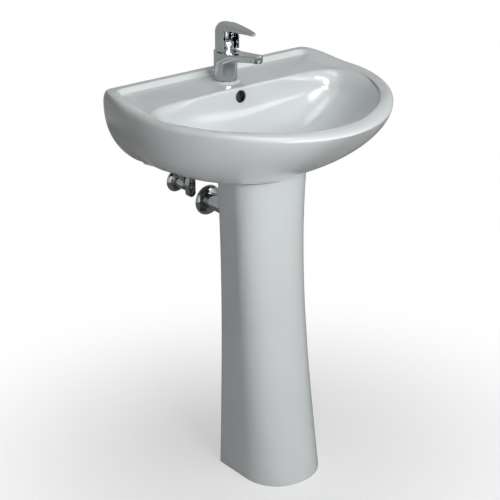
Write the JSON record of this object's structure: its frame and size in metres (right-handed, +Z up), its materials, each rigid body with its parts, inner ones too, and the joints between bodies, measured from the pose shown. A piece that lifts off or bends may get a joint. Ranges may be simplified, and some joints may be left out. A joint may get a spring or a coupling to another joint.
{
  "type": "pedestal sink",
  "caption": "Half-round white ceramic basin on a tapered hollow pedestal, with a chrome lever mixer tap, click waste, bottle trap and angle valves.",
  "frame": {"origin": "bottom centre of the bounding box: on the floor, midway between wall plane and front rim, on the plane of symmetry", "axes": "+Z up, +Y towards the wall, +X to the right of someone facing the basin"},
  "size_m": [0.56, 0.446, 0.9396],
  "materials": {
    "glaze": "white vitreous china with a clear gloss glaze",
    "seal_strip": "pale moulded plastic",
    "steel": "plated steel fixings",
    "chrome": "polished chrome plate",
    "rubber": "black moulded rubber",
    "brass": "turned brass",
    "copper": "drawn copper tube",
    "plastic": "white technical plastic",
    "index": "gloss plastic button, half blue and half red"
  },
  "bodies": {
    "fixture": {"basin": "glaze", "pedestal": "glaze", "pedestal_seal": "seal_strip", "floor_screw_left": "steel", "floor_screw_right": "steel", "wall_stud_left": "steel", "wall_stud_right": "steel", "wall_bush_left": "seal_strip", "wall_bush_right": "seal_strip", "wall_nut_left": "steel", "wall_nut_right": "steel", "tap_body": "chrome", "tap_base_seal": "rubber", "tap_stud": "brass", "tap_pad": "rubber", "tap_clamp": "steel", "tap_nut": "brass", "tap_tail_left": "copper", "tap_tail_right": "copper", "cartridge_body": "plastic", "cartridge_nut": "brass", "cartridge_dome": "chrome", "aerator_housing": "chrome", "aerator_insert": "plastic", "aerator_seal": "rubber", "waste_body": "chrome", "plug_guide": "brass", "waste_seal": "rubber", "waste_washer": "rubber", "waste_backnut": "chrome", "trap_head": "chrome", "dip_tube": "plastic", "trap_cup": "chrome", "cup_seal": "rubber", "inlet_nut": "chrome", "inlet_seal": "rubber", "outlet_nut": "chrome", "outlet_seal": "rubber", "waste_pipe": "chrome", "waste_rosette": "chrome", "valve_rosette_left": "chrome", "valve_rosette_right": "chrome", "valve_body_left": "chrome", "valve_body_right": "chrome", "valve_gland_left": "brass", "valve_gland_right": "brass", "tail_nut_left": "chrome", "tail_nut_right": "chrome"},
    "turntable": {"cartridge_turntable": "plastic", "cartridge_pin": "brass"},
    "lever": {"cartridge_stem": "brass", "lever": "chrome", "lever_screw": "steel", "index_button": "index"},
    "plug": {"waste_plug": "chrome", "plug_ring": "rubber"},
    "handle_left": {"valve_handle_left": "chrome", "valve_cap_left": "chrome"},
    "handle_right": {"valve_handle_right": "chrome", "valve_cap_right": "chrome"}
  },
  "joints": [
    {"name": "temperature_turn", "type": "hinge", "parent": "fixture", "child": "turntable", "pos_m": [0, 0.158, 0.8825], "axis": [0, 0, 1], "range_deg": [-45, 45]},
    {"name": "flow_lift", "type": "hinge", "parent": "turntable", "child": "lever", "pos_m": [0, 0.158, 0.8825], "axis": [-1, 0, 0], "range_deg": [0, 15]},
    {"name": "plug_press", "type": "slide", "parent": "fixture", "child": "plug", "axis": [0, 0, 1], "range_m": [-0.008, 0]},
    {"name": "valve_turn_left", "type": "hinge", "parent": "fixture", "child": "handle_left", "pos_m": [-0.082, 0.173, 0.605], "axis": [0, 1, 0], "range_deg": [0, 90]},
    {"name": "valve_turn_right", "type": "hinge", "parent": "fixture", "child": "handle_right", "pos_m": [0.082, 0.173, 0.605], "axis": [0, 1, 0], "range_deg": [-90, 0]}
  ]
}
